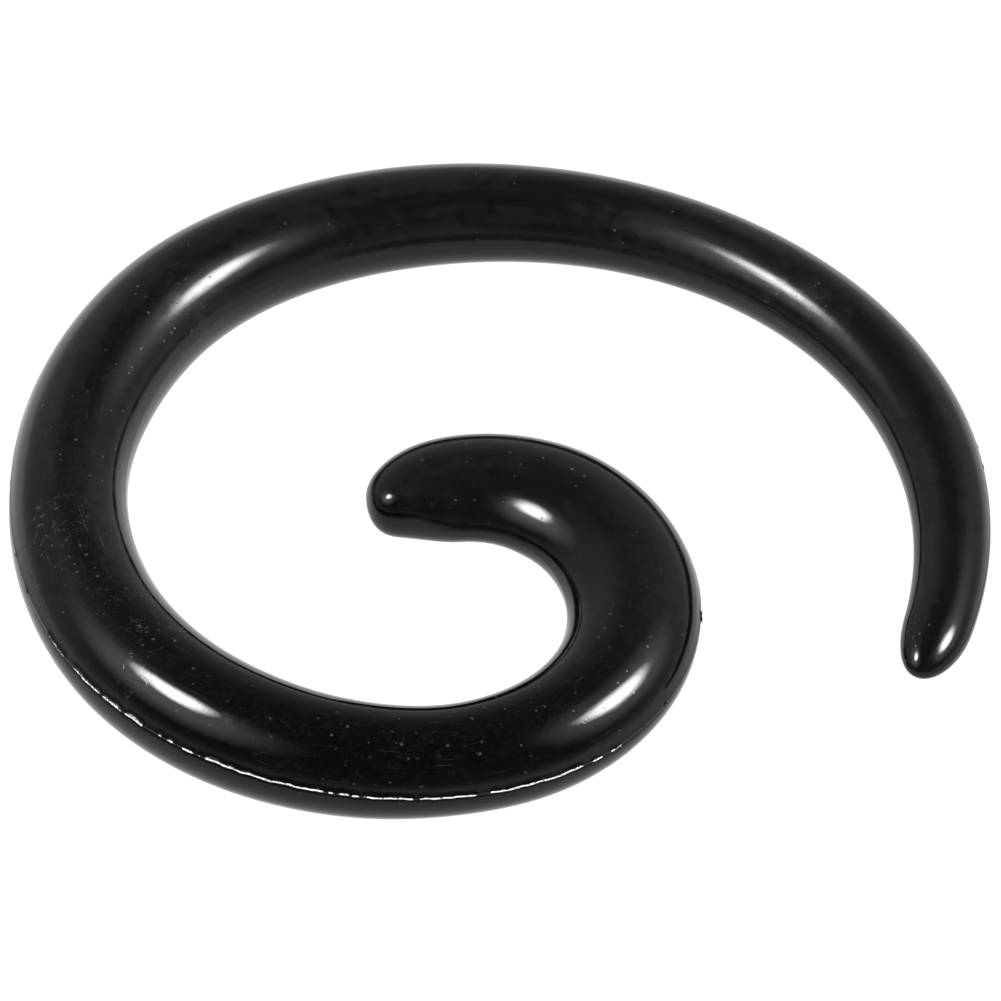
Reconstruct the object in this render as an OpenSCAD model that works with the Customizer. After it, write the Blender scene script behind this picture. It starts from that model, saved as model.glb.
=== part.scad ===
// Spiral ear taper: one solid, moulded flat spiral.
// A tube of oval section runs from a thick blunt end through a tight curl,
// round one wide turn, and thins to a rounded tip. Where the two halves of its
// mould met, a fine raised line runs along both sides of the tube.

/* [Spiral] */
// Width of the whole spiral across its widest way
overall_w = 42; // [38:1:60]
// Direction in which the blunt end's tube sets off, turned up from +X
start_dir = 58; // [0:1:90]
// How far the tube turns from end to end
total_turn = 531; // [450:1:531]

/* [Tube] */
// Nominal thickness of the tube, by which it is sold
gauge = 5; // [3:0.1:5.2]
// Height of the oval section as a share of its width where it is widest
flatness = 0.84; // [0.7:0.02:1]

/* [Mould line] */
// How far the mould line stands out where the tube is as wide as the gauge
mould_line_h = 0.08; // [0:0.02:0.2]
// Width of its foot there
mould_line_w = 0.24; // [0.1:0.02:0.4]

/* [Ends] */
// Length of the dome on the thick blunt end
blunt_l = 3.7; // [1.5:0.1:4]
// Squareness of the blunt dome, where 2 is an ellipse
blunt_power = 2.2; // [1.8:0.1:3]
// Length of the dome on the thin tip
tip_l = 3.1; // [1:0.1:4]
// Squareness of the tip's dome, where 2 is an ellipse
tip_power = 2.1; // [1.8:0.1:3]

/* [Mesh] */
// Sides round the section, apart from those of its two mould lines
sides = 32; // [16:2:36]
// Sections along the tube between its two domes
body_rings = 140; // [70:10:150]
// Sections in each dome
dome_rings = 9; // [5:1:10]

/* [Colour] */
// Colour of the moulded acrylic
acrylic_colour = "#111113"; // [#111113:Jet black, #f4f4f2:White, #7a1f2b:Dark red]

/* [Hidden] */

// The bend, one row for each stretch of turning: how far the tube has turned in
// degrees, the radius to which its centreline is bent there, the tube's width and
// height, in mm for a spiral of the width, gauge and flatness given below, and how
// far up the mould line runs, as a share of the way from mid-height to the top.
TURNED = 0;
BEND_R = 1;
TUBE_W = 2;
TUBE_H = 3;
LINE_UP = 4;
rows_overall_w = 42;
rows_gauge = 5;
rows_flatness = 0.84;
rows = [
    [0, 6.4, 3.4, 4.2, 0.1],
    [10, 3.5, 4.7, 3.4, 0.1],
    [50, 5.8, 5.6, 3.3, 0.1],
    [90, 6.0, 6.0, 3.6, 0.1],
    [130, 8.7, 5.8, 3.8, 0.1],
    [170, 8.2, 5.5, 4.1, 0.12],
    [210, 8.5, 5.2, 4.2, 0.17],
    [230, 11.8, 5.0, 4.1, 0.19],
    [250, 14.1, 5.3, 4.4, 0.25],
    [270, 15.3, 5.6, 4.7, 0.29],
    [290, 13.8, 5.6, 4.7, 0.3],
    [310, 17.2, 5.3, 4.6, 0.28],
    [330, 18.3, 5.0, 4.5, 0.22],
    [350, 20.2, 5.3, 4.8, 0.2],
    [370, 13.3, 5.2, 4.7, 0.2],
    [410, 21.1, 4.8, 4.3, 0.2],
    [450, 19.5, 4.1, 3.5, 0.2],
    [490, 19.4, 3.8, 3.1, 0.2],
    [530, 23.2, 2.8, 1.9, 0.2],
];

bend_scale = overall_w / rows_overall_w;
tube_scale = gauge / rows_gauge;
height_scale = tube_scale * flatness / rows_flatness;
bend_table = [for (r = rows) [r[TURNED], r[BEND_R] * bend_scale]];
width_table = [for (r = rows) [r[TURNED], r[TUBE_W] * tube_scale]];
height_table = [for (r = rows) [r[TURNED], r[TUBE_H] * height_scale]];
line_table = [for (r = rows) [r[TURNED], r[LINE_UP]]];

// The centreline is walked in equal small turns. Each step is an arc of the
// local bend radius, taken as its chord.
turn_step = 1;
step_count = total_turn / turn_step;
half_step = turn_step / 2;

function bend_r(turned) = lookup(turned, bend_table);
function heading(turned) = start_dir - turned;
function step_length(turned) = bend_r(turned) * turn_step * PI / 180;
function step_vector(turned) = step_length(turned) * [cos(heading(turned)), sin(heading(turned))];

// Walked points, each [turned so far, length so far, x, y]
walk = [
    for (
        i = 0, len = 0, at = [0, 0];
        i <= step_count;
        len = len + step_length(i * turn_step + half_step),
        at = at + step_vector(i * turn_step + half_step),
        i = i + 1
    )
    [i * turn_step, len, at.x, at.y]
];
tube_l = walk[step_count][1];

// The same walk read by length, so that a section can be set anywhere
turned_at = [for (p = walk) [p[1], p[0]]];
x_at = [for (p = walk) [p[1], p[2]]];
y_at = [for (p = walk) [p[1], p[3]]];
length_at = [for (p = walk) [p[0], p[1]]];

// Share of the full section that a dome leaves at distance s from its pole
function dome_share(s, dome_l, power) =
    s >= dome_l ? 1 : pow(1 - pow(1 - s / dome_l, power), 1 / power);

function ends_share(s) =
    dome_share(s, blunt_l, blunt_power) * dome_share(tube_l - s, tip_l, tip_power);

// Lengths at which sections stand: close together towards each pole, and at
// equal turns of the tube between the domes
function dome_step(i, dome_l) = dome_l * (1 - cos(90 * i / dome_rings));
body_from = lookup(blunt_l, turned_at);
body_to = lookup(tube_l - tip_l, turned_at);
ring_s = [
    for (i = [1 : dome_rings]) dome_step(i, blunt_l),
    for (i = [1 : body_rings - 1]) lookup(body_from + (body_to - body_from) * i / body_rings, length_at),
    for (i = [dome_rings : -1 : 1]) tube_l - dome_step(i, tip_l),
];
ring_count = len(ring_s);

// The mould line's crest, as a share that it adds to the section, and the angle
// round the section from its crest to its foot
crest_share = mould_line_h / (gauge / 2);
foot_a = mould_line_w / (gauge * flatness) * 180 / PI;

// The section is an oval of two arcs, over and under, between the feet of the
// two mould lines. Each of its points is [angle, share of the oval's size], and
// line_a is the angle at which the outer side's mould line runs.
arc_sides = sides / 2;
function arc_points(from_a, to_a) =
    [for (i = [0 : arc_sides]) [from_a + (to_a - from_a) * i / arc_sides, 1]];
function oval_points(line_a) = [
    [line_a, 1 + crest_share],
    each arc_points(line_a + foot_a, 180 - line_a - foot_a),
    [180 - line_a, 1 + crest_share],
    each arc_points(180 - line_a + foot_a, 360 + line_a - foot_a),
];
round_count = len(oval_points(0));

// One section, square to the centreline, as a ring of points
function section_points(s) =
    let (
        turned = lookup(s, turned_at),
        side_dir = heading(turned) + 90,
        half_w = lookup(turned, width_table) * ends_share(s) / 2,
        half_h = lookup(turned, height_table) * ends_share(s) / 2,
        centre = [lookup(s, x_at), lookup(s, y_at)]
    )
    [
        for (p = oval_points(asin(lookup(turned, line_table))))
        let (out = half_w * p[1] * cos(p[0]))
        [
            centre.x + out * cos(side_dir),
            centre.y + out * sin(side_dir),
            half_h * p[1] * sin(p[0])
        ]
    ];

blunt_pole = [0, 0, 0];
tip_pole = [walk[step_count][2], walk[step_count][3], 0];
ring_points = [for (s = ring_s) each section_points(s)];
skin = concat(ring_points, [blunt_pole, tip_pole]);
blunt_pole_i = ring_count * round_count;
tip_pole_i = blunt_pole_i + 1;

function point_i(ring, side) = ring * round_count + side % round_count;

blunt_faces = [for (j = [0 : round_count - 1]) [blunt_pole_i, point_i(0, j), point_i(0, j + 1)]];
tip_faces = [
    for (j = [0 : round_count - 1])
    [tip_pole_i, point_i(ring_count - 1, j + 1), point_i(ring_count - 1, j)]
];
wall_faces = [
    for (i = [0 : ring_count - 2], j = [0 : round_count - 1])
    each [
        [point_i(i, j), point_i(i + 1, j), point_i(i + 1, j + 1)],
        [point_i(i, j), point_i(i + 1, j + 1), point_i(i, j + 1)]
    ]
];

// The origin is the middle of the spiral's box, on the surface that it lies on
skin_x = [for (p = skin) p.x];
skin_y = [for (p = skin) p.y];
skin_z = [for (p = skin) p.z];
box_middle_x = (min(skin_x) + max(skin_x)) / 2;
box_middle_y = (min(skin_y) + max(skin_y)) / 2;

module taper() {
    color(acrylic_colour)
    translate([-box_middle_x, -box_middle_y, -min(skin_z)])
    polyhedron(points = skin, faces = concat(blunt_faces, wall_faces, tip_faces), convexity = 6);
}

taper();
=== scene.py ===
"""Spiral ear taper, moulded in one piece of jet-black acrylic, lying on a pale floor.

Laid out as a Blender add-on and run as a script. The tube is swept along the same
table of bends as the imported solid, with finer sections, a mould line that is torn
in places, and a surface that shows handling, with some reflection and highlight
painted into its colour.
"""

import math

import bpy
import numpy as np
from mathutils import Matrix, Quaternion, Vector


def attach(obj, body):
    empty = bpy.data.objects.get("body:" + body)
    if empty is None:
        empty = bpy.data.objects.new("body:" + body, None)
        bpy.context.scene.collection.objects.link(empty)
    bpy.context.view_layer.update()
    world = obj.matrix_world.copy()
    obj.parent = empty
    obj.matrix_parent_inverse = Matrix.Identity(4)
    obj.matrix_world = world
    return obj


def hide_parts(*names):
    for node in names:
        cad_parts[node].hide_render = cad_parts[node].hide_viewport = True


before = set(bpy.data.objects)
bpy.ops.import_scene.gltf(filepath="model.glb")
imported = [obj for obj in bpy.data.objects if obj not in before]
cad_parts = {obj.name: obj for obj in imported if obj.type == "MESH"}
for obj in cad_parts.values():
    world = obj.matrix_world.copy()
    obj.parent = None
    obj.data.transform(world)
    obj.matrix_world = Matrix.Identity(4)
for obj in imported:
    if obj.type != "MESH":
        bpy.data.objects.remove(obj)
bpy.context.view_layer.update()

bl_info = {
    "name": "Spiral Ear Taper",
    "version": (1, 0, 0),
    "blender": (4, 5, 0),
    "location": "View3D > Sidebar > Spiral Taper",
    "description": "Makes a moulded acrylic spiral ear taper and a pale studio round it",
    "category": "Add Mesh",
}

BODY = "root"
NODE = "taper"
MM = 0.001

# The bend, a row for each stretch of turning: how far the tube has turned in
# degrees, the radius to which its centreline is bent there, the tube's width and
# height, in mm for a spiral of the width and the gauge given below, how far up the
# mould line runs as a share of the way from mid-height to the top, how much of the
# outer mould line is torn, how far the polish has bloomed under a dull film, and how
# dull the tube's flanks are, where no cloth has wiped.
TURNED, BEND_R, TUBE_W, TUBE_H, LINE_UP, TORN, BLOOM, FLANK_DULL = range(8)
ROWS_OVERALL_W = 42 * MM
ROWS_GAUGE = 5 * MM
ROWS_FLATNESS = 0.84
ROWS = np.array(
    [
        [0, 6.4, 3.4, 4.2, 0.10, 0.00, 0.45, 1.00],
        [10, 3.5, 4.7, 3.4, 0.10, 0.00, 0.45, 1.00],
        [50, 5.8, 5.6, 3.3, 0.10, 0.00, 0.45, 0.90],
        [90, 6.0, 6.0, 3.6, 0.10, 0.05, 0.40, 0.50],
        [130, 8.7, 5.8, 3.8, 0.10, 0.10, 0.40, 0.10],
        [170, 8.2, 5.5, 4.1, 0.12, 0.30, 0.30, 0.05],
        [210, 8.5, 5.2, 4.2, 0.17, 0.95, 0.05, 0.00],
        [230, 11.8, 5.0, 4.1, 0.19, 1.00, 0.00, 0.00],
        [250, 14.1, 5.3, 4.4, 0.25, 1.00, 0.00, 0.00],
        [270, 15.3, 5.6, 4.7, 0.29, 0.95, 0.00, 0.00],
        [290, 13.8, 5.6, 4.7, 0.30, 0.80, 0.15, 0.05],
        [310, 17.2, 5.3, 4.6, 0.28, 0.10, 0.42, 0.15],
        [330, 18.3, 5.0, 4.5, 0.22, 0.10, 0.45, 0.30],
        [350, 20.2, 5.3, 4.8, 0.20, 0.10, 0.55, 0.50],
        [370, 13.3, 5.2, 4.7, 0.20, 0.10, 0.60, 0.60],
        [410, 21.1, 4.8, 4.3, 0.20, 0.15, 0.70, 0.60],
        [450, 19.5, 4.1, 3.5, 0.20, 0.10, 1.00, 0.50],
        [490, 19.4, 3.8, 3.1, 0.20, 0.05, 0.50, 0.40],
        [530, 23.2, 2.8, 1.9, 0.20, 0.00, 0.50, 0.20],
    ]
)

# Marks of handling, and one painted glint. Each row: how far the tube has turned there
# and the angle round the section, in degrees, the reach of the mark in mm, and how
# scratched, nicked, hazy and dusty it is. The row at 98 degrees is painted reflection:
# its pale hairlines and haze stand in for a glint of light under the inner curl.
MARK_TURNED, MARK_ANGLE, MARK_REACH, SCRATCHED_AND_GLINT, NICKED, HAZY, DUSTY = range(7)
MARKS = (
    (287, 97, 0.9, 0.3, 1.0, 0.3, 0.7),
    (283, 40, 0.8, 0.3, 0.5, 0.9, 0.5),
    (259, 48, 1.2, 0.15, 0.2, 0.6, 0.4),
    (422, 171, 0.6, 0.1, 0.0, 0.9, 0.2),
    (458, 178, 2.0, 1.0, 0.0, 0.5, 0.2),
    (312, 88, 3.0, 0.2, 0.1, 0.2, 0.8),
    (316, 60, 1.6, 0.1, 0.7, 0.2, 0.8),
    (298, 105, 2.2, 0.2, 0.2, 0.1, 0.7),
    (335, 95, 3.0, 0.1, 0.0, 0.2, 0.4),
    (363, 147, 2.6, 0.3, 0.0, 0.9, 0.6),
    (345, 160, 2.2, 0.3, 0.1, 0.7, 0.6),
    (468, 123, 1.4, 0.1, 0.3, 0.7, 1.0),
    (270, 70, 2.2, 0.1, 0.0, 0.2, 0.5),
    (240, 60, 4.0, 0.12, 0.1, 0.2, 0.6),
    (200, 90, 3.5, 0.1, 0.1, 0.1, 0.5),
    (150, 60, 3.0, 0.1, 0.1, 0.1, 0.35),
    (60, 90, 4.0, 0.05, 0.0, 0.3, 0.3),
    # Painted reflection: pale hairlines that stand in for a glint of light under the inner curl
    (98, 192, 0.9, 1.0, 0.0, 0.8, 0.2),
    (527, 110, 0.9, 0.0, 0.2, 0.2, 1.0),
)

# Larger grains of dust. Each row: how far the tube has turned there and the angle
# round the section, in degrees, and the grain's diameter in mm.
GRAINS = (
    (362, 124, 0.16),
    (359, 88, 0.11),
    (373, 180, 0.12),
    (357, 176, 0.10),
    (442, 94, 0.11),
    (465, 93, 0.13),
    (286, 80, 0.09),
    (315, 70, 0.09),
    (101, 134, 0.10),
    (184, 46, 0.12),
)


def linear_colour(hex_code):
    """An sRGB colour such as "#1a2b3c" as linear red, green, blue and alpha."""
    channels = [int(hex_code[i : i + 2], 16) / 255 for i in (1, 3, 5)]
    return tuple(c / 12.92 if c <= 0.04045 else ((c + 0.055) / 1.055) ** 2.4 for c in channels) + (1.0,)


def add_node(tree, kind, sockets=None, **settings):
    """Adds a node. Each socket is given a value, or is linked to an output."""
    node = tree.nodes.new(kind)
    for name, value in settings.items():
        setattr(node, name, value)
    for name, value in (sockets or {}).items():
        if isinstance(value, bpy.types.NodeSocket):
            tree.links.new(value, node.inputs[name])
        else:
            node.inputs[name].default_value = value
    return node


def new_material(name):
    """A material with an empty node tree, and its output node."""
    material = bpy.data.materials.new(name)
    material.use_nodes = True
    material.node_tree.nodes.clear()
    return material, material.node_tree, add_node(material.node_tree, "ShaderNodeOutputMaterial")


class TaperSettings(bpy.types.PropertyGroup):
    """Sizes and colours of the spiral taper"""

    overall_w: bpy.props.FloatProperty(
        name="Overall width",
        description="Width of the whole spiral across its widest way",
        default=0.042,
        min=0.038,
        max=0.060,
        precision=4,
        subtype="DISTANCE",
        unit="LENGTH",
    )
    start_dir: bpy.props.FloatProperty(
        name="Start direction",
        description="Direction in which the blunt end's tube sets off, turned up from +X",
        default=math.radians(58),
        min=0,
        max=math.radians(90),
        subtype="ANGLE",
        unit="ROTATION",
    )
    total_turn: bpy.props.IntProperty(
        name="Total turn",
        description="How far the tube turns from end to end, in degrees",
        default=531,
        min=450,
        max=531,
    )
    gauge: bpy.props.FloatProperty(
        name="Gauge",
        description="Nominal thickness of the tube, by which it is sold",
        default=0.005,
        min=0.003,
        max=0.0052,
        precision=4,
        subtype="DISTANCE",
        unit="LENGTH",
    )
    flatness: bpy.props.FloatProperty(
        name="Flatness",
        description="Height of the oval section as a share of its width where it is widest",
        default=ROWS_FLATNESS,
        min=0.7,
        max=1.0,
        subtype="FACTOR",
    )
    blunt_l: bpy.props.FloatProperty(
        name="Blunt dome",
        description="Length of the dome on the thick blunt end",
        default=0.0037,
        min=0.0015,
        max=0.004,
        precision=4,
        subtype="DISTANCE",
        unit="LENGTH",
    )
    blunt_power: bpy.props.FloatProperty(
        name="Blunt squareness",
        description="Squareness of the blunt dome, where 2 is an ellipse",
        default=2.2,
        min=1.8,
        max=3.0,
    )
    tip_l: bpy.props.FloatProperty(
        name="Tip dome",
        description="Length of the dome on the thin tip",
        default=0.0031,
        min=0.001,
        max=0.004,
        precision=4,
        subtype="DISTANCE",
        unit="LENGTH",
    )
    tip_power: bpy.props.FloatProperty(
        name="Tip squareness",
        description="Squareness of the tip's dome, where 2 is an ellipse",
        default=2.1,
        min=1.8,
        max=3.0,
    )
    mould_line_h: bpy.props.FloatProperty(
        name="Mould line height",
        description="How far the mould line stands out where its torn flash is tallest",
        default=0.00008,
        min=0,
        max=0.0002,
        precision=5,
        subtype="DISTANCE",
        unit="LENGTH",
    )
    mould_line_w: bpy.props.FloatProperty(
        name="Mould line width",
        description="Width of the mould line's foot",
        default=0.00024,
        min=0.0001,
        max=0.0004,
        precision=5,
        subtype="DISTANCE",
        unit="LENGTH",
    )
    acrylic: bpy.props.FloatVectorProperty(
        name="Acrylic",
        description="Body colour of the moulded acrylic",
        default=linear_colour("#010101"),
        size=4,
        min=0,
        max=1,
        subtype="COLOR",
    )
    # Painted white: the torn flash's whitened acrylic, which also stands in as a painted highlight where
    # the flash catches the lamps
    torn_flash_and_highlight: bpy.props.FloatVectorProperty(
        name="Torn acrylic",
        description="Whitened colour of the torn flash on the mould line",
        default=linear_colour("#f6f6f4"),
        size=4,
        min=0,
        max=1,
        subtype="COLOR",
    )
    dust: bpy.props.FloatVectorProperty(
        name="Dust",
        description="Colour of the dust on the surface",
        default=linear_colour("#a8a8a7"),
        size=4,
        min=0,
        max=1,
        subtype="COLOR",
    )


class StudioSettings(bpy.types.PropertyGroup):
    """The floor, the lights and the camera"""

    floor: bpy.props.FloatVectorProperty(
        name="Floor",
        description="Colour of the light that the floor throws back",
        default=linear_colour("#3e3e3e"),
        size=4,
        min=0,
        max=1,
        subtype="COLOR",
    )
    floor_glow: bpy.props.FloatProperty(
        name="Floor glow",
        description="Light that comes up through the floor",
        default=1.0,
        min=0,
        max=3,
    )
    lamp_light: bpy.props.FloatProperty(
        name="Lamp light",
        description="Brightness of the patch of cloth that each lamp lights",
        default=62.0,
        min=0,
        max=200,
    )
    room_light: bpy.props.FloatProperty(
        name="Room light",
        description="Brightness of the room round the floor",
        default=1.0,
        min=0,
        max=3,
    )
    camera_elevation: bpy.props.FloatProperty(
        name="Camera elevation",
        description="Height of the camera over the floor, as an angle",
        default=math.radians(45),
        min=math.radians(5),
        max=math.radians(90),
        subtype="ANGLE",
        unit="ROTATION",
    )
    camera_distance: bpy.props.FloatProperty(
        name="Camera distance",
        description="Distance from the camera to the middle of the picture",
        default=0.3428,
        min=0.1,
        max=1.0,
        precision=4,
        subtype="DISTANCE",
        unit="LENGTH",
    )


# Sections along the tube's body and in each dome, and sides of each arc between
# the two mould lines
BODY_RINGS = 1290
DOME_RINGS = 34
ARC_SIDES = 27
# Degrees of turning to each side over which the table's corners are eased
EASED_OVER = 12

# Points across each mould line, in shares of its foot's half width from its crest,
# less than nothing under it, and the share that stands for far from the line
OUTER_RIDGE = (-1.6, -1.1, -0.75, -0.4, 0.0, 0.33, 0.66)
INNER_RIDGE = (-0.5, 0.0, 0.5)
FAR_OFF = 9.0
# Below 1 the ridge's flank bulges, above 1 it hollows
RIDGE_POWER = 0.7
# Height of the inner line, and of the outer one where it isn't torn, as shares of
# the height of the torn flash
INNER_LINE_SHARE = 0.1
UNTORN_SHARE = 0.3
# Under the torn flash the lower half of the mould left a fine groove: how deep it
# is as a share of the crest, at these shares of the foot below the crest. It comes
# in between these shares of tearing.
GROOVE_AT = (0.0, 0.4, 0.75, 1.1, 1.6, 2.0)
GROOVE_DEPTH = (0.0, 0.62, 0.6, 0.32, 0.08, 0.0)
GROOVE_TORN = (0.2, 0.8)

FLASH_SEED = 7
# The flash tears in dashes, from values that wander along the tube: each has its
# share of the whole and its pitch in mm. It is torn where they pass a level, which
# falls from the first of these to the second as the table's share of tearing grows,
# and nowhere where that share is less than the least. The steepness is how fast the
# tearing grows past the level.
DASHES = ((0.6, 0.6), (0.4, 0.17))
TORN_LEVELS = (0.76, 0.3)
TORN_STEEPNESS = 12
LEAST_TORN = 0.01
# Pitch in mm of the torn edge's teeth, and their share of its height
TOOTH_PITCH = 0.11
TOOTH_SHARE = 0.65
# Pitch in mm at which the torn edge drifts off its line, and how far, as a share of
# the foot
DRIFT_PITCH = 0.3
DRIFT_SHARE = 0.5
# Tearing whitens the crest, and fades between these shares of the foot from it.
# This white is also a painted highlight: it stands in for the flash catching the lamps' light.
WHITE_AND_HIGHLIGHT_WITHIN = (0.125, 0.75)
# How soon dullness fades from the flanks towards the top of the tube
FLANK_POWER = 3
# Mean radius of the section in mm, by which the surface is measured round the tube
GIRTH_R = 2.4


def walk_centreline(taper):
    """The centreline in steps of one degree: turned so far, length so far, x and y."""
    scale = taper.overall_w / ROWS_OVERALL_W * MM
    turned = np.arange(taper.total_turn + 1.0)
    middle = turned[:-1] + 0.5
    step = np.interp(middle, ROWS[:, TURNED], ROWS[:, BEND_R]) * scale * math.radians(1)
    heading = taper.start_dir - np.radians(middle)

    def summed(parts):
        return np.concatenate([[0], np.cumsum(parts)])

    return turned, summed(step), summed(step * np.cos(heading)), summed(step * np.sin(heading))


def eased_column(turned, column):
    """A column of the table read at these turns, with its corners eased."""
    table_turns, table_values = ROWS[:, TURNED], ROWS[:, column]
    grid = np.arange(-2 * EASED_OVER, table_turns[-1] + 3 * EASED_OVER)
    first_slope, last_slope = (np.diff(table_values) / np.diff(table_turns))[[0, -1]]
    values = np.interp(grid, table_turns, table_values)
    values += np.minimum(grid, 0) * first_slope
    values += np.maximum(grid - table_turns[-1], 0) * last_slope
    window = np.hanning(2 * EASED_OVER + 3)
    eased = np.convolve(values, window / window.sum(), mode="same")
    return np.interp(turned, grid, eased)


def dome_share(from_pole, dome_l, power):
    """Share of the full section that a dome leaves at this distance from its pole."""
    inward = np.clip(1 - from_pole / dome_l, 0, 1)
    return (1 - inward**power) ** (1 / power)


def wandering(rng, length, pitch, at):
    """Random values from 0 to 1, one for each pitch of length, read between them."""
    knots = np.arange(0, length + 2 * pitch, pitch)
    return np.interp(at, knots, rng.random(len(knots)))


def tear_flash(amount, tube_l, at):
    """How torn the flash is at these lengths, how tall its teeth are, and its drift."""
    rng = np.random.default_rng(FLASH_SEED)
    dashes = sum(share * wandering(rng, tube_l, pitch * MM, at) for share, pitch in DASHES)
    level = np.interp(amount, (0, 1), TORN_LEVELS)
    torn = np.clip((dashes - level) * TORN_STEEPNESS, 0, 1) * (amount > LEAST_TORN)
    teeth = 1 - TOOTH_SHARE + TOOTH_SHARE * wandering(rng, tube_l, TOOTH_PITCH * MM, at)
    drift = DRIFT_SHARE * (wandering(rng, tube_l, DRIFT_PITCH * MM, at) - 0.5)
    return torn, teeth, drift


def section_angles(line_a, foot_a, offsets):
    """Angles round each section, from the outer mould line's crest onwards.

    Returns the angles, and for each point how far it is from the crest of the
    outer and of the inner mould line, in shares of the foot's half width, less than
    nothing under the outer one.
    """
    outer, inner = np.array(OUTER_RIDGE), np.array(INNER_RIDGE)
    arc = np.linspace(0, 1, ARC_SIDES + 1)
    line, foot = line_a[:, None], foot_a[:, None]
    over = line + foot + (math.pi - 2 * line - 2 * foot) * arc
    under = math.pi - line + foot + (math.pi + 2 * line - 3 * foot) * arc
    after, before = outer[outer >= 0], outer[outer < 0]
    angles = np.hstack(
        [
            line + foot * after + offsets,
            over,
            math.pi - line + foot * inner,
            under,
            2 * math.pi + line + foot * before + offsets,
        ]
    )

    def far(points):
        return np.full(len(points), FAR_OFF)

    from_outer = np.concatenate([after, far(arc), far(inner), far(arc), before])
    from_inner = np.concatenate([far(after), far(arc), np.abs(inner), far(arc), far(before)])
    return angles, from_outer, from_inner


def sweep_tube(taper):
    """Every point of the tube, ring by ring, in metres, and what its surface is like."""
    turned_all, length_all, x_all, y_all = walk_centreline(taper)
    tube_l = length_all[-1]

    dome = 1 - np.cos(np.linspace(0, math.pi / 2, DOME_RINGS + 1)[1:])
    body_ends = np.interp([taper.blunt_l, tube_l - taper.tip_l], length_all, turned_all)
    body = np.interp(np.linspace(*body_ends, BODY_RINGS + 1)[1:-1], turned_all, length_all)
    length = np.concatenate([taper.blunt_l * dome, body, tube_l - taper.tip_l * dome[::-1]])

    turned = np.interp(length, length_all, turned_all)
    side = taper.start_dir - np.radians(turned) + math.pi / 2
    x, y = (np.interp(length, length_all, values) for values in (x_all, y_all))
    ends = dome_share(length, taper.blunt_l, taper.blunt_power)
    ends *= dome_share(tube_l - length, taper.tip_l, taper.tip_power)
    half = taper.gauge / ROWS_GAUGE * MM / 2 * ends
    half_w = eased_column(turned, TUBE_W) * half
    half_h = eased_column(turned, TUBE_H) * half * taper.flatness / ROWS_FLATNESS

    amount = np.interp(turned, ROWS[:, TURNED], ROWS[:, TORN])
    torn, teeth, drift = tear_flash(amount, tube_l, length)
    line_a = np.arcsin(eased_column(turned, LINE_UP))
    foot_a = np.full(len(turned), taper.mould_line_w / (taper.gauge * taper.flatness))
    offsets = (drift * foot_a * torn)[:, None]
    angles, from_outer, from_inner = section_angles(line_a, foot_a, offsets)

    crest = taper.mould_line_h / (taper.gauge / 2)
    outer_crest = crest * (UNTORN_SHARE + (1 - UNTORN_SHARE) * torn * teeth)
    outer_ridge = np.clip(1 - np.abs(from_outer), 0, 1) ** RIDGE_POWER * (from_outer >= 0)
    inner_ridge = np.clip(1 - from_inner, 0, 1)
    groove = crest * np.interp(amount, GROOVE_TORN, (0, 1))
    groove_depth = np.interp(-from_outer, GROOVE_AT, GROOVE_DEPTH)
    reach = 1 + outer_crest[:, None] * outer_ridge + crest * INNER_LINE_SHARE * inner_ridge
    reach -= groove[:, None] * groove_depth

    out = half_w[:, None] * reach * np.cos(angles)
    up = half_h[:, None] * reach * np.sin(angles)
    across_x, across_y = np.cos(side)[:, None], np.sin(side)[:, None]
    flanks = np.abs(np.cos(angles)) ** FLANK_POWER
    return {
        "rings": np.stack([x[:, None] + out * across_x, y[:, None] + out * across_y, up], 2),
        "poles": np.array([[0, 0, 0], [x_all[-1], y_all[-1], 0]]),
        # The white of the torn flash, also a painted highlight where it catches the lamps
        "torn": (torn * amount)[:, None] * np.interp(np.abs(from_outer), WHITE_AND_HIGHLIGHT_WITHIN, (1, 0)),
        "bloomed": np.broadcast_to(eased_column(turned, BLOOM)[:, None], angles.shape),
        "dulled": eased_column(turned, FLANK_DULL)[:, None] * flanks,
        "turned": turned,
        "length": length,
        "angles": angles,
        "tube_l": tube_l,
    }


def tube_faces(ring_count, round_count):
    """Faces of a tube closed by a fan of triangles round each pole."""
    side = np.arange(round_count)
    following = (side + 1) % round_count
    here = np.arange(ring_count - 1)[:, None] * round_count
    ahead = here + round_count
    wall = np.stack([here + side, here + following, ahead + following, ahead + side], 2)
    last_ring = (ring_count - 1) * round_count
    blunt_pole = np.full(round_count, ring_count * round_count)
    blunt = np.stack([blunt_pole, following, side], 1)
    tip = np.stack([blunt_pole + 1, last_ring + side, last_ring + following], 1)
    return wall.reshape(-1, 4).tolist() + blunt.tolist() + tip.tolist()


def lay_tube_map(mesh, tube):
    """A map of the surface: length along the tube one way, and round it the other."""
    ring_count, round_count = tube["angles"].shape
    along = np.append(np.repeat(tube["length"] / tube["tube_l"], round_count), [0, 1])
    start = tube["angles"][:, :1]
    around = np.append(((tube["angles"] - start) / (2 * math.pi)).ravel(), [0.5, 0.5])
    corners = np.empty(len(mesh.loops), np.int32)
    mesh.loops.foreach_get("vertex_index", corners)
    totals = np.empty(len(mesh.polygons), np.int32)
    mesh.polygons.foreach_get("loop_total", totals)
    column = np.where(corners < ring_count * round_count, corners % round_count, -1)
    face = np.repeat(np.arange(len(totals)), totals)
    closes_round = np.zeros(len(totals), bool)
    closes_round[face[column == round_count - 1]] = True
    places = np.stack([along[corners], around[corners]], 1)
    places[(column == 0) & closes_round[face], 1] = 1
    layer = mesh.uv_layers.new(name="tube")
    layer.uv.foreach_set("vector", places.astype(np.float32).ravel())


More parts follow.
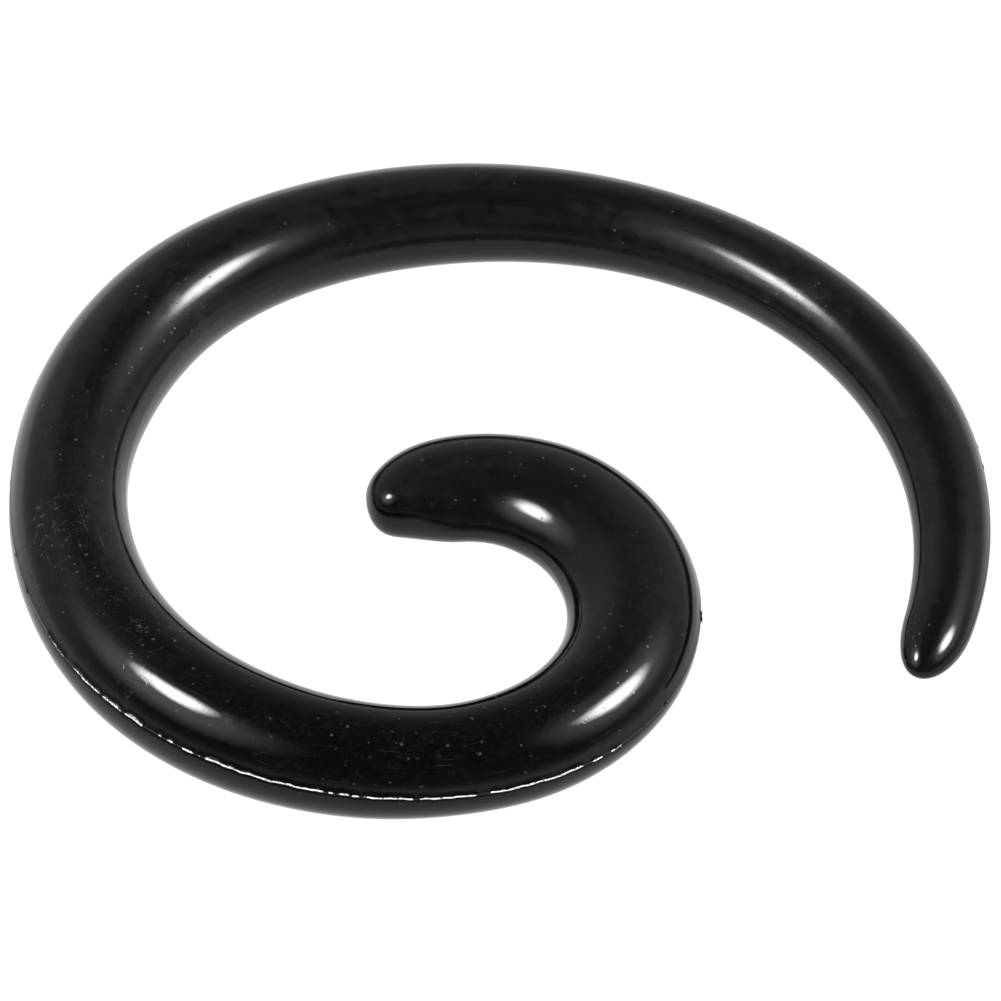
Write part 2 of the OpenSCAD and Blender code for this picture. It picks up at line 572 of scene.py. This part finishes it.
def marked(tube, column):
    """How strongly one column of the marks shows at each point."""
    total = np.zeros(tube["angles"].shape)
    for mark in MARKS:
        at = np.interp(mark[MARK_TURNED], tube["turned"], tube["length"])
        apart = tube["angles"] - math.radians(mark[MARK_ANGLE])
        around = (apart + math.pi) % (2 * math.pi) - math.pi
        off = np.hypot(tube["length"][:, None] - at, around * GIRTH_R * MM) / (mark[MARK_REACH] * MM)
        total += mark[column] * np.exp(-(off**2))
    return np.clip(total, 0, 1)


def build_tube(taper):
    """The whole taper as one mesh object, and the tube from which it is made."""
    tube = sweep_tube(taper)
    ring_count, round_count = tube["angles"].shape
    points = np.vstack([tube["rings"].reshape(-1, 3), tube["poles"]])
    middle = (points.min(0) + points.max(0)) / 2
    points -= [middle[0], middle[1], points[:, 2].min()]

    mesh = bpy.data.meshes.new("spiral_taper")
    mesh.from_pydata(points.tolist(), [], tube_faces(ring_count, round_count))
    mesh.shade_smooth()
    lay_tube_map(mesh, tube)
    surface = {
        "torn": tube["torn"],
        "bloomed": tube["bloomed"],
        "dulled": tube["dulled"],
        "scratched_and_glint": marked(tube, SCRATCHED_AND_GLINT),
        "nicked": marked(tube, NICKED),
        "hazy": marked(tube, HAZY),
        "dusty": marked(tube, DUSTY),
    }
    for name, values in surface.items():
        at_poles = [values[0].mean(), values[-1].mean()]
        attribute = mesh.attributes.new(name, "FLOAT", "POINT")
        attribute.data.foreach_set("value", np.append(values.ravel(), at_poles).astype(np.float32))
    mesh.update()
    piece = bpy.data.objects.new("spiral_taper", mesh)
    bpy.context.scene.collection.objects.link(piece)
    return piece, tube


# Kinds of node that the materials use most
MATH = "ShaderNodeMath"
VECTOR_MATH = "ShaderNodeVectorMath"
NOISE = "ShaderNodeTexNoise"
MAP_RANGE = "ShaderNodeMapRange"
MIX = "ShaderNodeMix"
# Where a colour mix takes its two colours, and where it gives the mixed one
MIX_FROM, MIX_TO, MIX_OUT = 6, 7, 2

# Length round the tube in mm, at the section's mean radius
GIRTH = 2 * math.pi * GIRTH_R
# Pitch of each pattern in mm, as a length over how many it holds. Hairlines and bands
# have one pitch along the tube and one round it. Powder and fibres are finer on the
# real one, and are drawn as coarse as they need to show.
SMUDGE = 20 / 7
STREAK = 10 / 17
HAIRLINE = (2, 1 / 11)
CURL = 10 / 19
ISLAND = 5 / 13
DUST_CELL = 10 / 17
POWDER = 2 / 9
FIBRE = 1 / 9
BAND = (100 / 9, 4 / 3)
CLOUD = 10 / 13
WAVE = 100 / 33

# How far each mark pales the acrylic towards the colour of dust where it is strongest.
# The wear's bands and the glint under the inner curl are painted reflection in this paling.
PALING = {
    "wear_and_sheen": 0.015,
    "powder": 0.009,
    "haze": 0.006,
    "nick": 0.06,
    "scratch_and_glint": 0.16,
    "speck": 0.14,
}
# Roughness that the polished mould leaves, and what each mark adds to it
POLISH = 0.045
DULLING = {
    "haze": 0.10,
    "bloom": 0.07,
    "flank": 0.2,
    "wear_and_sheen": 0.06,
    "powder": 0.04,
    "scratch_and_glint": 0.2,
    "matt": 0.55,
}
# Height of each mark in micrometres, less than nothing where it is cut in
HEIGHTS = {
    "wave": 18.0,
    "band": 14.0,
    "nick": -6.0,
    "powder": 0.4,
    "streak": 1.6,
    "scratch_and_glint": -3.0,
    "speck": 8.0,
    "fibre": 20.0,
}
MICROMETRE = 0.001 * MM
# Acrylic bends light by 1.49. The level of its shine would be 0.5 by that index
# alone, and is lower to match the object.
ACRYLIC_IOR = 1.49
ACRYLIC_SHINE = 0.24


def smudges(tree, solid, hazy):
    """Haze of smudges 3 mm across, broken up by streaks of 0.6 mm, and the streaks."""
    smudge = add_node(
        tree, NOISE, {"Vector": solid, "Scale": 1 / SMUDGE, "Detail": 3.0, "Roughness": 0.6}
    ).outputs[0]
    film = add_node(
        tree,
        MAP_RANGE,
        {"Value": smudge, "From Min": 0.52, "From Max": 0.72, "To Max": 0.6},
        interpolation_type="SMOOTHSTEP",
    ).outputs[0]
    smeared = add_node(tree, MATH, {0: film, 1: hazy}, operation="ADD", use_clamp=True).outputs[0]
    streak = add_node(
        tree, NOISE, {"Vector": solid, "Scale": 1 / STREAK, "Detail": 4.0, "Roughness": 0.7}
    ).outputs[0]
    patchy = add_node(
        tree,
        MAP_RANGE,
        {"Value": streak, "From Min": 0.42, "From Max": 0.68},
        interpolation_type="SMOOTHSTEP",
    ).outputs[0]
    haze = add_node(tree, MATH, {0: smeared, 1: patchy}, operation="MULTIPLY").outputs[0]
    return haze, streak


def hairline_scratches_and_glint(tree, place, scratched_and_glint):
    """Hairlines 0.05 mm wide and some 2 mm long along the tube, a trace of them all over. Under the inner
    curl they also paint a glint of reflection.
    """
    drawn_out = add_node(tree, VECTOR_MATH, {0: place, 1: (*HAIRLINE, 1)}, operation="DIVIDE").outputs[0]
    lines = add_node(
        tree, NOISE, {"Vector": drawn_out, "Scale": 1.0, "Detail": 2.0, "Distortion": 0.4}
    ).outputs[0]
    hairline = add_node(tree, MAP_RANGE, {"Value": lines, "From Min": 0.66, "From Max": 0.74}).outputs[0]
    depth = add_node(tree, MAP_RANGE, {"Value": scratched_and_glint, "To Min": 0.04, "To Max": 0.89}).outputs[0]
    return add_node(tree, MATH, {0: depth, 1: hairline}, operation="MULTIPLY").outputs[0]


def curling_nicks(tree, solid, nicked):
    """Short curling cuts, 0.06 mm wide and under 1 mm long.

    They follow the contour at the middle of one noise, and islands of another cut
    them off.
    """
    curls = add_node(
        tree, NOISE, {"Vector": solid, "Scale": 1 / CURL, "Detail": 1.0, "Distortion": 0.6}
    ).outputs[0]
    past_contour = add_node(tree, MATH, {0: curls, 1: 0.5}, operation="SUBTRACT").outputs[0]
    off_contour = add_node(tree, MATH, {0: past_contour}, operation="ABSOLUTE").outputs[0]
    cut = add_node(tree, MAP_RANGE, {"Value": off_contour, "From Min": 0.028, "From Max": 0.008}).outputs[0]
    islands = add_node(tree, NOISE, {"Vector": solid, "Scale": 1 / ISLAND, "Detail": 0.0}).outputs[0]
    island = add_node(tree, MAP_RANGE, {"Value": islands, "From Min": 0.5, "From Max": 0.58}).outputs[0]
    nick = add_node(tree, MATH, {0: cut, 1: island}, operation="MULTIPLY").outputs[0]
    return add_node(tree, MATH, {0: nick, 1: nicked}, operation="MULTIPLY").outputs[0]


def dust_specks(tree, place, dusty):
    """Dust: some of its cells hold a speck of 0.04 to 0.14 mm, pale or barely seen."""
    cells = add_node(
        tree,
        "ShaderNodeTexVoronoi",
        {"Vector": place, "Scale": 1 / DUST_CELL, "Randomness": 1.0},
        feature="F1",
        voronoi_dimensions="2D",
    )
    chances = add_node(tree, "ShaderNodeSeparateColor", {0: cells.outputs["Color"]}).outputs
    reach = add_node(tree, MAP_RANGE, {"Value": chances[0], "To Min": 0.05, "To Max": 0.15}).outputs[0]
    within = add_node(tree, MATH, {0: cells.outputs["Distance"], 1: reach}, operation="DIVIDE").outputs[0]
    in_speck = add_node(tree, MAP_RANGE, {"Value": within, "From Min": 1.0, "From Max": 0.6}).outputs[0]
    share = add_node(tree, MAP_RANGE, {"Value": dusty, "To Min": 0.045, "To Max": 0.545}).outputs[0]
    there = add_node(tree, MATH, {0: chances[1], 1: share}, operation="LESS_THAN").outputs[0]
    paleness = add_node(tree, MAP_RANGE, {"Value": chances[2], "To Min": 0.08, "To Max": 0.5}).outputs[0]
    speck = add_node(tree, MATH, {0: in_speck, 1: there}, operation="MULTIPLY").outputs[0]
    return add_node(tree, MATH, {0: speck, 1: paleness}, operation="MULTIPLY").outputs[0]


def larger_grains(tree, place, tube, speck):
    """The specks, with the larger grains of dust laid among them at their places."""
    for turned, angle, diameter in GRAINS:
        length = float(np.interp(turned, tube["turned"], tube["length"])) / MM
        start = float(np.interp(turned, tube["turned"], tube["angles"][:, 0]))
        around = ((math.radians(angle) - start) / (2 * math.pi) % 1) * GIRTH
        off = add_node(
            tree, VECTOR_MATH, {0: place, 1: (length, around, 0)}, operation="DISTANCE"
        ).outputs["Value"]
        grain = add_node(
            tree,
            MAP_RANGE,
            {"Value": off, "From Min": diameter / 2, "From Max": diameter / 4, "To Max": 0.5},
        ).outputs[0]
        speck = add_node(tree, MATH, {0: speck, 1: grain}, operation="MAXIMUM").outputs[0]
    return speck


def fine_powder(tree, solid, bloomed, dusty):
    """Powder in grains of 0.1 mm: a trace all over, more on bloom, most where dust lies."""
    grains = add_node(
        tree, NOISE, {"Vector": solid, "Scale": 1 / POWDER, "Detail": 3.0, "Roughness": 0.8}
    ).outputs[0]
    powder = add_node(
        tree,
        MAP_RANGE,
        {"Value": grains, "From Min": 0.50, "From Max": 0.70},
        interpolation_type="SMOOTHSTEP",
    ).outputs[0]
    on_bloom = add_node(tree, MAP_RANGE, {"Value": bloomed, "To Min": 0.15, "To Max": 0.35}).outputs[0]
    settled = add_node(tree, MATH, {0: dusty, 1: 0.8, 2: on_bloom}, operation="MULTIPLY_ADD").outputs[0]
    return add_node(tree, MATH, {0: powder, 1: settled}, operation="MULTIPLY").outputs[0]


def torn_fibres(tree, solid, torn):
    """The fibres along which the flash tore, and how white they are: whitened by tearing, and painted white
    as a highlight where the flash catches the lamps.
    """
    fray = add_node(tree, NOISE, {"Vector": solid, "Scale": 1 / FIBRE, "Detail": 2.0}).outputs[0]
    fibre = add_node(tree, MATH, {0: torn, 1: fray}, operation="MULTIPLY").outputs[0]
    white = add_node(
        tree,
        MAP_RANGE,
        {"Value": fibre, "From Min": 0.17, "From Max": 0.36},
        interpolation_type="SMOOTHSTEP",
    ).outputs[0]
    return fibre, white


def wear_and_sheen_bands(tree, place, solid, bloomed):
    """Wear in bands 1 mm wide along the tube, broken up into clouds, and the bands. Its paler bands along
    the tube are partly painted reflection: streaks of lighter sheen.
    """
    drawn_out = add_node(tree, VECTOR_MATH, {0: place, 1: (*BAND, 1)}, operation="DIVIDE").outputs[0]
    band = add_node(
        tree, NOISE, {"Vector": drawn_out, "Scale": 1.0, "Detail": 3.0, "Roughness": 0.6}
    ).outputs[0]
    cloudy = add_node(
        tree, NOISE, {"Vector": solid, "Scale": 1 / CLOUD, "Detail": 5.0, "Roughness": 0.75}
    ).outputs[0]
    both = add_node(tree, MATH, {0: band, 1: cloudy}, operation="MULTIPLY").outputs[0]
    clouds = add_node(
        tree,
        MAP_RANGE,
        {"Value": both, "From Min": 0.19, "From Max": 0.33, "To Min": 0.3},
        interpolation_type="SMOOTHSTEP",
    ).outputs[0]
    worn = add_node(tree, MAP_RANGE, {"Value": bloomed, "To Min": 0.05}).outputs[0]
    wear_and_sheen = add_node(tree, MATH, {0: worn, 1: clouds}, operation="MULTIPLY").outputs[0]
    return wear_and_sheen, band


def add_up(tree, marks, shares, start=0.0):
    """What the marks add up to, each in its share, on top of a start."""
    total = start
    for name, share in shares.items():
        total = add_node(
            tree, MATH, {0: marks[name], 1: share, 2: total}, operation="MULTIPLY_ADD"
        ).outputs[0]
    return total


def moulded_acrylic(taper, tube):
    """Moulded jet-black acrylic, polished.

    A dense black body under a clear gloss gives mirror-sharp lights on near-black.
    Handling leaves hairline scratches, hazy smudges and pale dust, and the torn
    flash on the mould line is whitened and matt. Some of the paling is painted light:
    lighter reflection bands along the tube, a glint under the inner curl, and the
    flash's white, which also stands in for its highlight.
    """
    material, tree, output = new_material("moulded jet-black acrylic, polished")
    on_map = add_node(tree, "ShaderNodeUVMap", uv_map="tube").outputs[0]
    map_size = (tube["tube_l"] / MM, GIRTH, 1)
    place = add_node(tree, VECTOR_MATH, {0: on_map, 1: map_size}, operation="MULTIPLY").outputs[0]
    in_metres = add_node(tree, "ShaderNodeTexCoord").outputs["Object"]
    solid = add_node(tree, VECTOR_MATH, {0: in_metres, "Scale": 1 / MM}, operation="SCALE").outputs[0]
    scratched_and_glint, nicked, hazy, dusty, torn, bloomed, dulled = (
        add_node(tree, "ShaderNodeAttribute", attribute_name=name).outputs["Fac"]
        for name in ("scratched_and_glint", "nicked", "hazy", "dusty", "torn", "bloomed", "dulled")
    )

    haze, streak = smudges(tree, solid, hazy)
    speck = larger_grains(tree, place, tube, dust_specks(tree, place, dusty))
    fibre, white = torn_fibres(tree, solid, torn)
    wear_and_sheen, band = wear_and_sheen_bands(tree, place, solid, bloomed)
    marks = {
        "haze": haze,
        "streak": streak,
        "scratch_and_glint": hairline_scratches_and_glint(tree, place, scratched_and_glint),
        "nick": curling_nicks(tree, solid, nicked),
        "speck": speck,
        "powder": fine_powder(tree, solid, bloomed, dusty),
        "fibre": fibre,
        "wear_and_sheen": wear_and_sheen,
        "band": band,
        "bloom": bloomed,
        "flank": dulled,
        "matt": add_node(tree, MATH, {0: speck, 1: white}, operation="MAXIMUM").outputs[0],
        "wave": add_node(
            tree, NOISE, {"Vector": solid, "Scale": 1 / WAVE, "Detail": 1.5, "Roughness": 0.4}
        ).outputs[0],
    }

    # Paled towards dust, with painted reflection in it: the sheen bands and the glint under the inner curl
    dust_and_sheen = add_node(
        tree,
        MIX,
        {"Factor": add_up(tree, marks, PALING), MIX_FROM: taper.acrylic, MIX_TO: taper.dust},
        data_type="RGBA",
    ).outputs[MIX_OUT]
    # The torn flash painted white: whitened acrylic, and a painted highlight where it catches the lamps
    colour = add_node(
        tree, MIX, {"Factor": white, MIX_FROM: dust_and_sheen, MIX_TO: taper.torn_flash_and_highlight}, data_type="RGBA"
    ).outputs[MIX_OUT]
    bump = add_node(
        tree,
        "ShaderNodeBump",
        {"Height": add_up(tree, marks, HEIGHTS), "Distance": MICROMETRE, "Strength": 1.0},
    ).outputs[0]
    shader = add_node(
        tree,
        "ShaderNodeBsdfPrincipled",
        {
            "Base Color": colour,
            "Roughness": add_up(tree, marks, DULLING, POLISH),
            "IOR": ACRYLIC_IOR,
            "Specular IOR Level": ACRYLIC_SHINE,
            "Normal": bump,
        },
    )
    tree.links.new(shader.outputs[0], output.inputs["Surface"])
    return material


# Half the floor's width, in metres
FLOOR_HALF = 1.5
# Each lit place on a cloth: its name, its direction from the object, the azimuth
# turned from +Y towards +X, and the elevation, how far across and how tall it looks
# and how far it leans, all in degrees, how far off it hangs, in metres, its
# brightness as a share of the lamps', and how it fades, from full to none, in
# shares of its reach.
LAMPS = (
    ("lamp_left", -84, 58, 15, 13, -15, 1.0, 1.0, 0.42, 1.55),
    ("spill_left", -96, 50, 48, 38, 0, 1.1, 0.05, 0.1, 1.5),
    ("lamp_right", 82, 48, 21, 17, -42, 0.25, 1.0, 0.35, 1.5),
    ("spill_right", 84, 46, 52, 44, 0, 0.3, 0.042, 0.1, 1.5),
)
CLOTH_SIDES = 64

# The room's light by height, from level, 0, to overhead, 1: ahead of the camera, what
# its two sides add to that, and behind the camera
ROOM_AHEAD = ((0.0, 0.75), (0.17, 0.5), (0.34, 0.4), (0.5, 0.3), (0.7, 0.18), (0.9, 0.14), (1.0, 0.12))
ROOM_SIDES = ((0.0, 0.0), (0.3, 0.12), (0.5, 0.26), (0.66, 0.32), (0.8, 0.28), (1.0, 0.1))
ROOM_BEHIND = ((0.0, 1.0), (0.1, 0.8), (0.2, 0.45), (0.34, 0.22), (0.7, 0.13), (1.0, 0.12))
# The middle between the two sides lies a little to the right. The sides' light comes
# in between these shares of the way out from it, and the light ahead takes over from
# that behind the camera between these shares of the way ahead.
ROOM_MIDDLE_X = 0.05
SIDES_FROM, SIDES_TO = 0.1, 0.55
AHEAD_FROM, AHEAD_TO = -0.35, 0.25

# Width of the camera's sensor in mm and of the picture in pixels, and the lens's
# focal length in those pixels
SENSOR_W = 36.0
PICTURE_PIXELS = 1001
FOCAL_PIXELS = 8007
# The middle of the picture, from the object's origin
LOOK_AT = Vector((0.058, -1.256, 2.39)) * MM


def lit_floor(studio):
    """White opal sheet, matt, lit from below: it glows evenly and keeps faint shadows."""
    material, tree, output = new_material("white opal sheet, matt, lit from below")
    matt = add_node(tree, "ShaderNodeBsdfDiffuse", {"Color": studio.floor})
    glow = add_node(tree, "ShaderNodeEmission", {"Color": (1, 1, 1, 1), "Strength": studio.floor_glow})
    both = add_node(tree, "ShaderNodeAddShader", {0: matt.outputs[0], 1: glow.outputs[0]})
    tree.links.new(both.outputs[0], output.inputs["Surface"])
    return material


def lit_cloth(light, full, out):
    """White diffuser cloth, lit from behind.

    It fades away from the lamp, and the room shows through it.
    """
    material, tree, output = new_material("white diffuser cloth, lit from behind")
    on_cloth = add_node(tree, "ShaderNodeTexCoord").outputs["Object"]
    from_lamp = add_node(tree, VECTOR_MATH, {0: on_cloth}, operation="LENGTH").outputs["Value"]
    fade = add_node(
        tree,
        MAP_RANGE,
        {"Value": from_lamp, "From Min": full, "From Max": out, "To Min": 1.0, "To Max": 0.0},
        interpolation_type="SMOOTHSTEP",
    ).outputs[0]
    glow = add_node(tree, "ShaderNodeEmission", {"Color": fade, "Strength": light})
    clear = add_node(tree, "ShaderNodeBsdfTransparent")
    both = add_node(tree, "ShaderNodeAddShader", {0: glow.outputs[0], 1: clear.outputs[0]})
    tree.links.new(both.outputs[0], output.inputs["Surface"])
    return material


def build_floor(studio):
    """One flat pale floor at the object's foot."""
    mesh = bpy.data.meshes.new("floor")
    h = FLOOR_HALF
    mesh.from_pydata([(-h, -h, 0), (h, -h, 0), (h, h, 0), (-h, h, 0)], [], [(0, 1, 2, 3)])
    mesh.materials.append(lit_floor(studio))
    floor = bpy.data.objects.new("floor", mesh)
    bpy.context.scene.collection.objects.link(floor)


def build_lamp(studio, lamp):
    """An oval of cloth that one lamp lights, facing the object."""
    name, azimuth, elevation, across, tall, leaning, distance, share, full, out = lamp
    azimuth, elevation = math.radians(azimuth), math.radians(elevation)
    level = math.cos(elevation)
    towards = Vector((math.sin(azimuth) * level, math.cos(azimuth) * level, math.sin(elevation)))
    reach_x, reach_y = (distance * math.tan(math.radians(angle / 2)) for angle in (across, tall))
    turns = [2 * math.pi * i / CLOTH_SIDES for i in range(CLOTH_SIDES)]
    rim = [(out * math.cos(turn), out * math.sin(turn), 0) for turn in turns]

    mesh = bpy.data.meshes.new(name)
    mesh.from_pydata(rim, [], [tuple(range(CLOTH_SIDES))])
    mesh.materials.append(lit_cloth(studio.lamp_light * share, full, out))
    cloth = bpy.data.objects.new(name, mesh)
    cloth.location = LOOK_AT + towards * distance
    lean = Quaternion((0, 0, 1), math.radians(leaning))
    cloth.rotation_euler = (towards.to_track_quat("Z", "Y") @ lean).to_euler()
    cloth.scale = (reach_x, reach_y, 1)
    bpy.context.scene.collection.objects.link(cloth)


def light_by_height(tree, height, stops):
    """A part of the room's light, from its brightness at these heights."""
    ramp = add_node(tree, "ShaderNodeValToRGB", {0: height})
    elements = ramp.color_ramp.elements
    while len(elements) < len(stops):
        elements.new(0.5)
    for element, (at, light) in zip(elements, stops):
        element.position = at
        element.color = (light, light, light, 1)
    return ramp.outputs[0]


def build_room(studio):
    """The room: pale low down, dark overhead, and lighter at both sides of the way ahead."""
    world = bpy.data.worlds.new("studio room")
    world.use_nodes = True
    tree = world.node_tree
    tree.nodes.clear()
    direction = add_node(tree, "ShaderNodeTexCoord").outputs["Generated"]
    across, ahead, height = add_node(tree, "ShaderNodeSeparateXYZ", {0: direction}).outputs
    off_middle = add_node(tree, MATH, {0: across, 1: ROOM_MIDDLE_X}, operation="SUBTRACT").outputs[0]
    aside = add_node(tree, MATH, {0: off_middle}, operation="ABSOLUTE").outputs[0]
    side_share = add_node(
        tree,
        MAP_RANGE,
        {"Value": aside, "From Min": SIDES_FROM, "From Max": SIDES_TO},
        interpolation_type="SMOOTHSTEP",
    ).outputs[0]
    ahead_light = add_node(
        tree,
        MIX,
        {
            "Factor": side_share,
            MIX_FROM: light_by_height(tree, height, ROOM_AHEAD),
            MIX_TO: light_by_height(tree, height, ROOM_SIDES),
        },
        data_type="RGBA",
        blend_type="ADD",
    ).outputs[MIX_OUT]
    ahead_share = add_node(
        tree,
        MAP_RANGE,
        {"Value": ahead, "From Min": AHEAD_FROM, "From Max": AHEAD_TO},
        interpolation_type="SMOOTHSTEP",
    ).outputs[0]
    light = add_node(
        tree,
        MIX,
        {
            "Factor": ahead_share,
            MIX_FROM: light_by_height(tree, height, ROOM_BEHIND),
            MIX_TO: ahead_light,
        },
        data_type="RGBA",
    ).outputs[MIX_OUT]
    room = add_node(tree, "ShaderNodeBackground", {"Color": light, "Strength": studio.room_light})
    output = add_node(tree, "ShaderNodeOutputWorld")
    tree.links.new(room.outputs[0], output.inputs["Surface"])
    bpy.context.scene.world = world


def build_camera(studio):
    """The camera, in front of the object and above it, with a long lens."""
    data = bpy.data.cameras.new("camera")
    data.sensor_width = SENSOR_W
    data.lens = SENSOR_W * FOCAL_PIXELS / PICTURE_PIXELS
    data.clip_start = 0.01
    data.clip_end = 5.0
    camera = bpy.data.objects.new("camera", data)
    away = Vector((0, -math.cos(studio.camera_elevation), math.sin(studio.camera_elevation)))
    camera.location = LOOK_AT + away * studio.camera_distance
    camera.rotation_euler = away.to_track_quat("Z", "Y").to_euler()
    bpy.context.scene.collection.objects.link(camera)
    bpy.context.scene.camera = camera


class MESH_OT_spiral_taper(bpy.types.Operator):
    """Builds the spiral taper with its mould line and its polished acrylic"""

    bl_idname = "mesh.spiral_taper"
    bl_label = "Build Spiral Taper"

    def execute(self, context):
        settings = context.scene.spiral_taper
        piece, tube = build_tube(settings)
        piece.data.materials.append(moulded_acrylic(settings, tube))
        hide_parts(NODE)
        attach(piece, BODY)
        return {"FINISHED"}


class SCENE_OT_taper_studio(bpy.types.Operator):
    """Builds the pale floor, the two lamps behind their cloth, the room and the camera"""

    bl_idname = "scene.taper_studio"
    bl_label = "Build Studio"

    def execute(self, context):
        studio = context.scene.taper_studio
        build_floor(studio)
        for lamp in LAMPS:
            build_lamp(studio, lamp)
        build_room(studio)
        build_camera(studio)
        context.scene.view_settings.view_transform = "Standard"
        return {"FINISHED"}


class VIEW3D_PT_spiral_taper(bpy.types.Panel):
    """Sizes, colours and the two build steps"""

    bl_label = "Spiral Taper"
    bl_space_type = "VIEW_3D"
    bl_region_type = "UI"
    bl_category = "Spiral Taper"

    def draw(self, context):
        scene = context.scene
        groups = (
            (scene.spiral_taper, "mesh.spiral_taper"),
            (scene.taper_studio, "scene.taper_studio"),
        )
        for settings, operator in groups:
            column = self.layout.column()
            for name in settings.__annotations__:
                column.prop(settings, name)
            column.operator(operator)


CLASSES = (
    TaperSettings,
    StudioSettings,
    MESH_OT_spiral_taper,
    SCENE_OT_taper_studio,
    VIEW3D_PT_spiral_taper,
)


def register():
    """Adds the classes and the two groups of settings."""
    for cls in CLASSES:
        bpy.utils.register_class(cls)
    bpy.types.Scene.spiral_taper = bpy.props.PointerProperty(type=TaperSettings)
    bpy.types.Scene.taper_studio = bpy.props.PointerProperty(type=StudioSettings)


def unregister():
    """Takes the settings and the classes away again."""
    del bpy.types.Scene.taper_studio
    del bpy.types.Scene.spiral_taper
    for cls in reversed(CLASSES):
        bpy.utils.unregister_class(cls)


def main():
    """Builds the object and its studio."""
    register()
    bpy.ops.mesh.spiral_taper()
    bpy.ops.scene.taper_studio()


if __name__ == "__main__":
    main()
